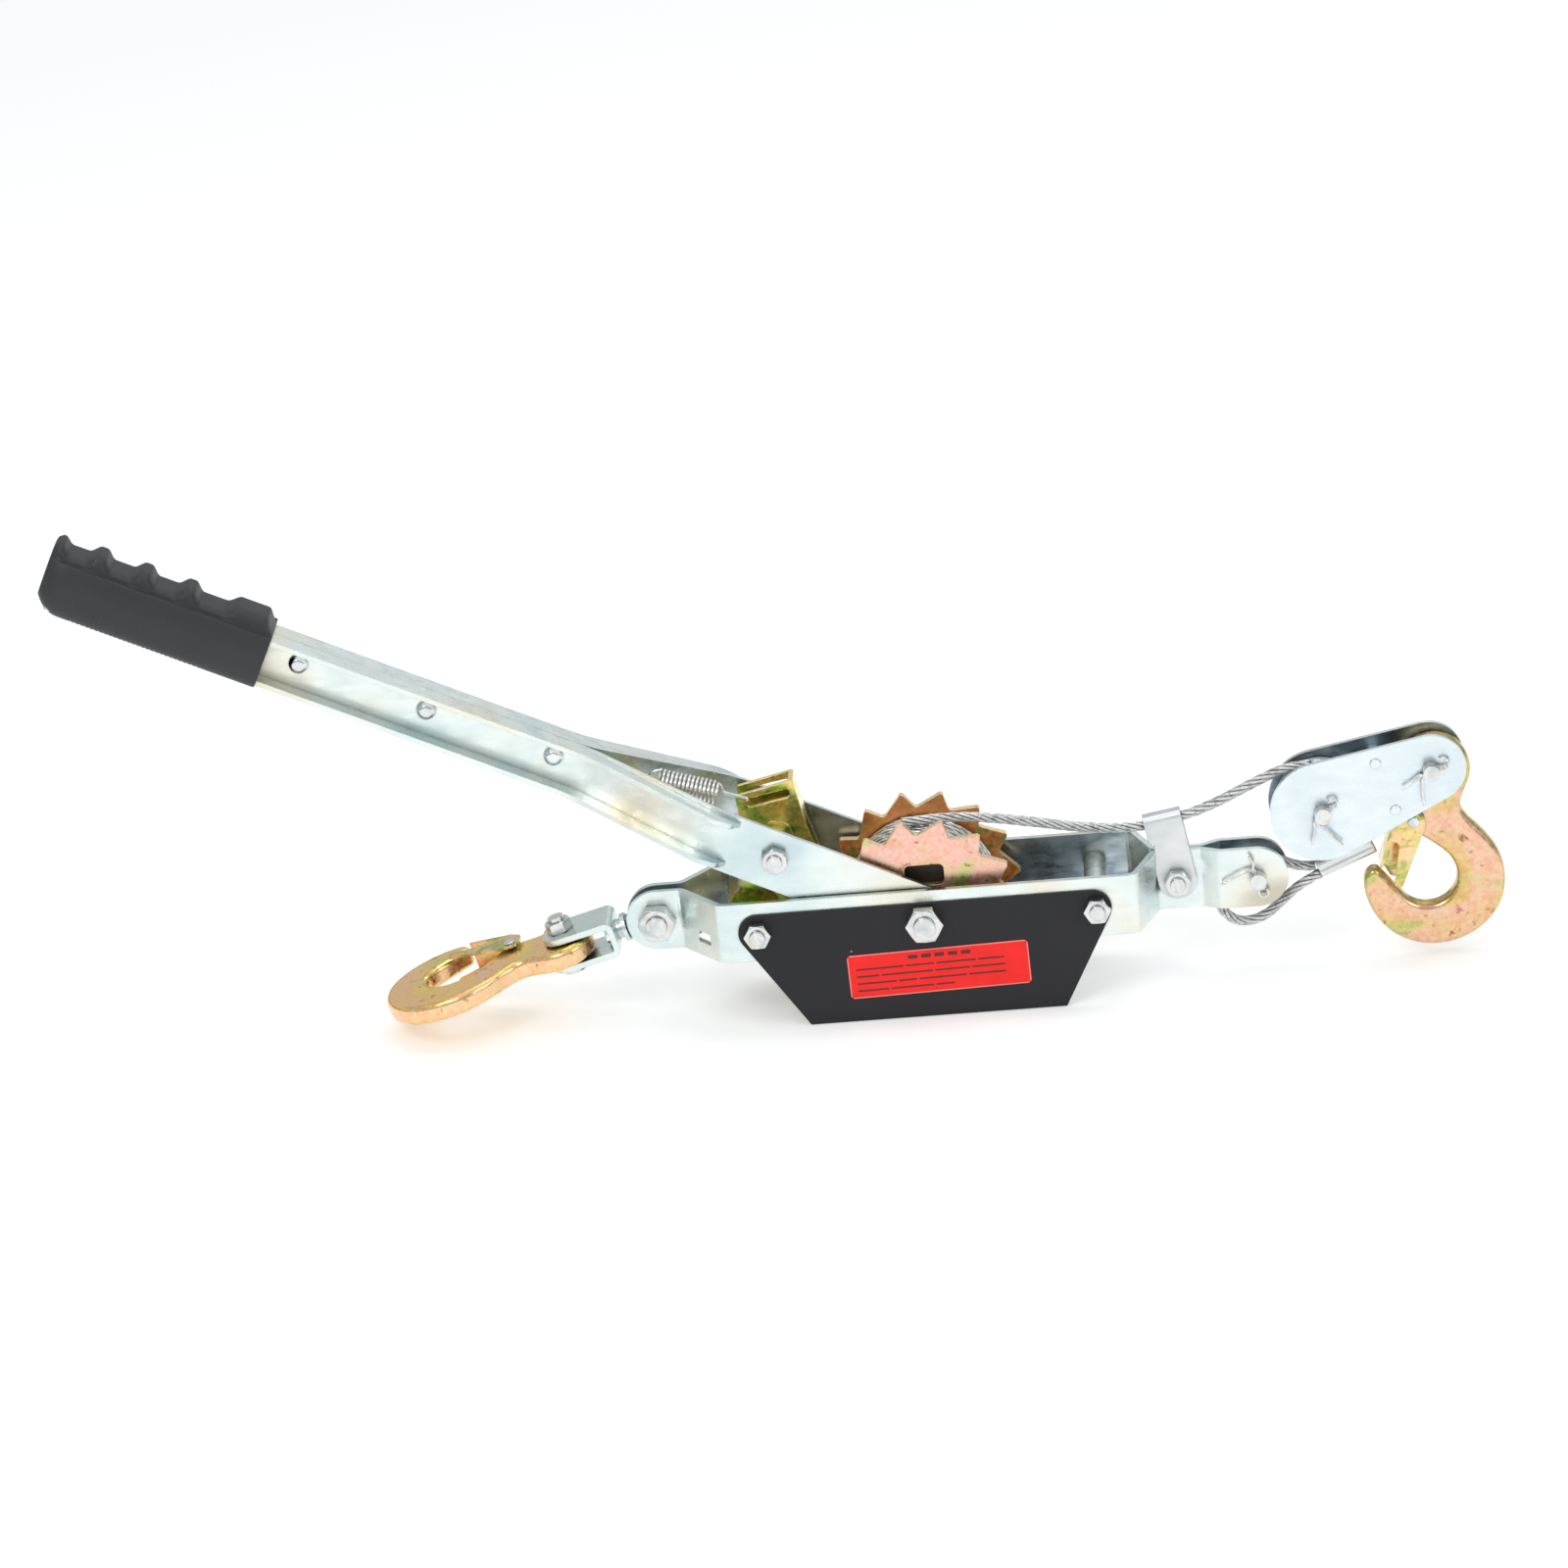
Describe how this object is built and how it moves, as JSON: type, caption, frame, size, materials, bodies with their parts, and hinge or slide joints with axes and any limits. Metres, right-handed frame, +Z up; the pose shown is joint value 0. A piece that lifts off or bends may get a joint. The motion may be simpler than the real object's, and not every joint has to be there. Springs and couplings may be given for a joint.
{
  "type": "come along winch",
  "caption": "Hand cable puller: a forked ratchet lever and drum between side straps, with a doubled wire rope, a pulley block with latch hook and a swivel hook at the rear.",
  "frame": {"origin": "centre of the bounding box at the bottom edge of the cover plates", "axes": "+Z up, +X from the lever's grip towards the pulley block, +Y away from the side with the nuts and label"},
  "size_m": [0.6884, 0.0798, 0.2669],
  "materials": {
    "zinc_plate": "bright zinc plate with a faint blue cast",
    "yellow_chromate": "iridescent yellow chromate over steel",
    "black_cover": "semi-matt black powder coat",
    "red_label": "glossy red sticker",
    "bright_fastener": "bright plated steel",
    "aluminium_strap": "plain aluminium",
    "steel_rope": "galvanised wire strands",
    "dark_steel": "dull steel",
    "black_rubber": "moulded black rubber"
  },
  "bodies": {
    "frame": {"side_strap_near": "zinc_plate", "side_strap_far": "zinc_plate", "cover_plate_near": "black_cover", "cover_plate_far": "black_cover", "safety_label": "red_label", "main_bolt": "bright_fastener", "main_nut": "bright_fastener", "hold_pawl_bolt": "bright_fastener", "hold_pawl_nut": "bright_fastener", "spacer_bolt": "bright_fastener", "spacer_nut": "bright_fastener", "spacer_tube": "zinc_plate", "rear_bolt": "bright_fastener", "rear_nut": "bright_fastener", "rope_guide": "aluminium_strap", "guide_bolt": "bright_fastener", "guide_nut": "bright_fastener", "clevis_pin": "bright_fastener", "clevis_cotter": "bright_fastener", "rope_lead": "steel_rope", "rope_return": "steel_rope", "rope_eye": "steel_rope", "rope_ferrule": "aluminium_strap"},
    "lever": {"lever_half_near": "zinc_plate", "lever_half_far": "zinc_plate", "lever_rivets": "bright_fastener", "grip": "black_rubber", "lever_pawl_bolt": "bright_fastener", "lever_pawl_nut": "bright_fastener", "tension_spring": "bright_fastener"},
    "drum": {"ratchet_wheel_near": "yellow_chromate", "ratchet_wheel_far": "yellow_chromate", "drum_core": "dark_steel", "rope_winding": "steel_rope"},
    "drive_pawl": {"drive_pawl": "yellow_chromate"},
    "hold_pawl": {"hold_pawl": "yellow_chromate"},
    "block": {"block_plate_near": "zinc_plate", "block_plate_far": "zinc_plate", "block_spacers": "bright_fastener", "sheave_pin": "bright_fastener", "sheave_cotter": "bright_fastener", "hook_pin": "bright_fastener", "hook_cotter": "bright_fastener"},
    "sheave": {"sheave": "dark_steel"},
    "block_hook": {"block_hook": "yellow_chromate", "block_latch_rivet": "bright_fastener"},
    "block_latch": {"block_latch": "yellow_chromate"},
    "swivel_eye": {"swivel_eye": "zinc_plate"},
    "swivel_yoke": {"swivel_yoke": "zinc_plate", "yoke_bolt": "bright_fastener", "yoke_nut": "bright_fastener"},
    "rear_hook": {"rear_hook": "yellow_chromate", "rear_latch_rivet": "bright_fastener"},
    "rear_latch": {"rear_latch": "yellow_chromate"}
  },
  "joints": [
    {"name": "lever_swing", "type": "hinge", "parent": "frame", "child": "lever", "pos_m": [0.06435, 0.00155, 0.0495], "axis": [0, 1, 0], "range_deg": [0, 90]},
    {"name": "drum_turn", "type": "hinge", "parent": "frame", "child": "drum", "pos_m": [0.06435, 0.00155, 0.0495], "axis": [0, 1, 0], "range_deg": [0, 440]},
    {"name": "drive_pawl_swing", "type": "hinge", "parent": "lever", "child": "drive_pawl", "pos_m": [-0.00466, 0.00155, 0.08549], "axis": [0, 1, 0], "range_deg": [0, 12], "stiffness_Nm_per_rad": 0.1, "springref_deg": -22.92},
    {"name": "hold_pawl_swing", "type": "hinge", "parent": "frame", "child": "hold_pawl", "pos_m": [-0.01615, 0.00155, 0.0495], "axis": [0, 1, 0], "range_deg": [0, 15], "stiffness_Nm_per_rad": 0.1, "springref_deg": -22.92},
    {"name": "block_slide", "type": "slide", "parent": "frame", "child": "block", "axis": [0.9239, 0, 0.3827], "range_m": [0, 0.15], "deforming": ["rope_lead", "rope_return"]},
    {"name": "sheave_turn", "type": "hinge", "parent": "block", "child": "sheave", "pos_m": [0.25835, 0.00155, 0.0815], "axis": [0, 1, 0], "continuous": true},
    {"name": "block_hook_swing", "type": "hinge", "parent": "block", "child": "block_hook", "pos_m": [0.31111, 0.00155, 0.09936], "axis": [0, 1, 0], "range_deg": [-110, 0]},
    {"name": "block_latch_push", "type": "hinge", "parent": "block_hook", "child": "block_latch", "pos_m": [0.30171, 0.00155, 0.07156], "axis": [0, 1, 0], "range_deg": [-35, 0], "stiffness_Nm_per_rad": 0.05, "springref_deg": 34.38},
    {"name": "swivel_tilt", "type": "hinge", "parent": "frame", "child": "swivel_eye", "pos_m": [-0.06595, 0.00155, 0.0495], "axis": [0, 1, 0], "range_deg": [-40, 45]},
    {"name": "yoke_swivel", "type": "hinge", "parent": "swivel_eye", "child": "swivel_yoke", "pos_m": [-0.08915, 0.00155, 0.04337], "axis": [-0.9668, 0, -0.2554], "continuous": true},
    {"name": "rear_hook_swing", "type": "hinge", "parent": "swivel_yoke", "child": "rear_hook", "pos_m": [-0.11187, 0.00155, 0.03737], "axis": [0.2554, 0, -0.9668], "range_deg": [-60, 60]},
    {"name": "rear_latch_push", "type": "hinge", "parent": "rear_hook", "child": "rear_latch", "pos_m": [-0.13875, 0.01095, 0.03027], "axis": [0.2554, 0, -0.9668], "range_deg": [-35, 0], "stiffness_Nm_per_rad": 0.05, "springref_deg": 34.38}
  ],
  "couplings": [
    {"joint": "block_slide", "follows": "drum_turn", "m_per_rad": 0.0195}
  ]
}
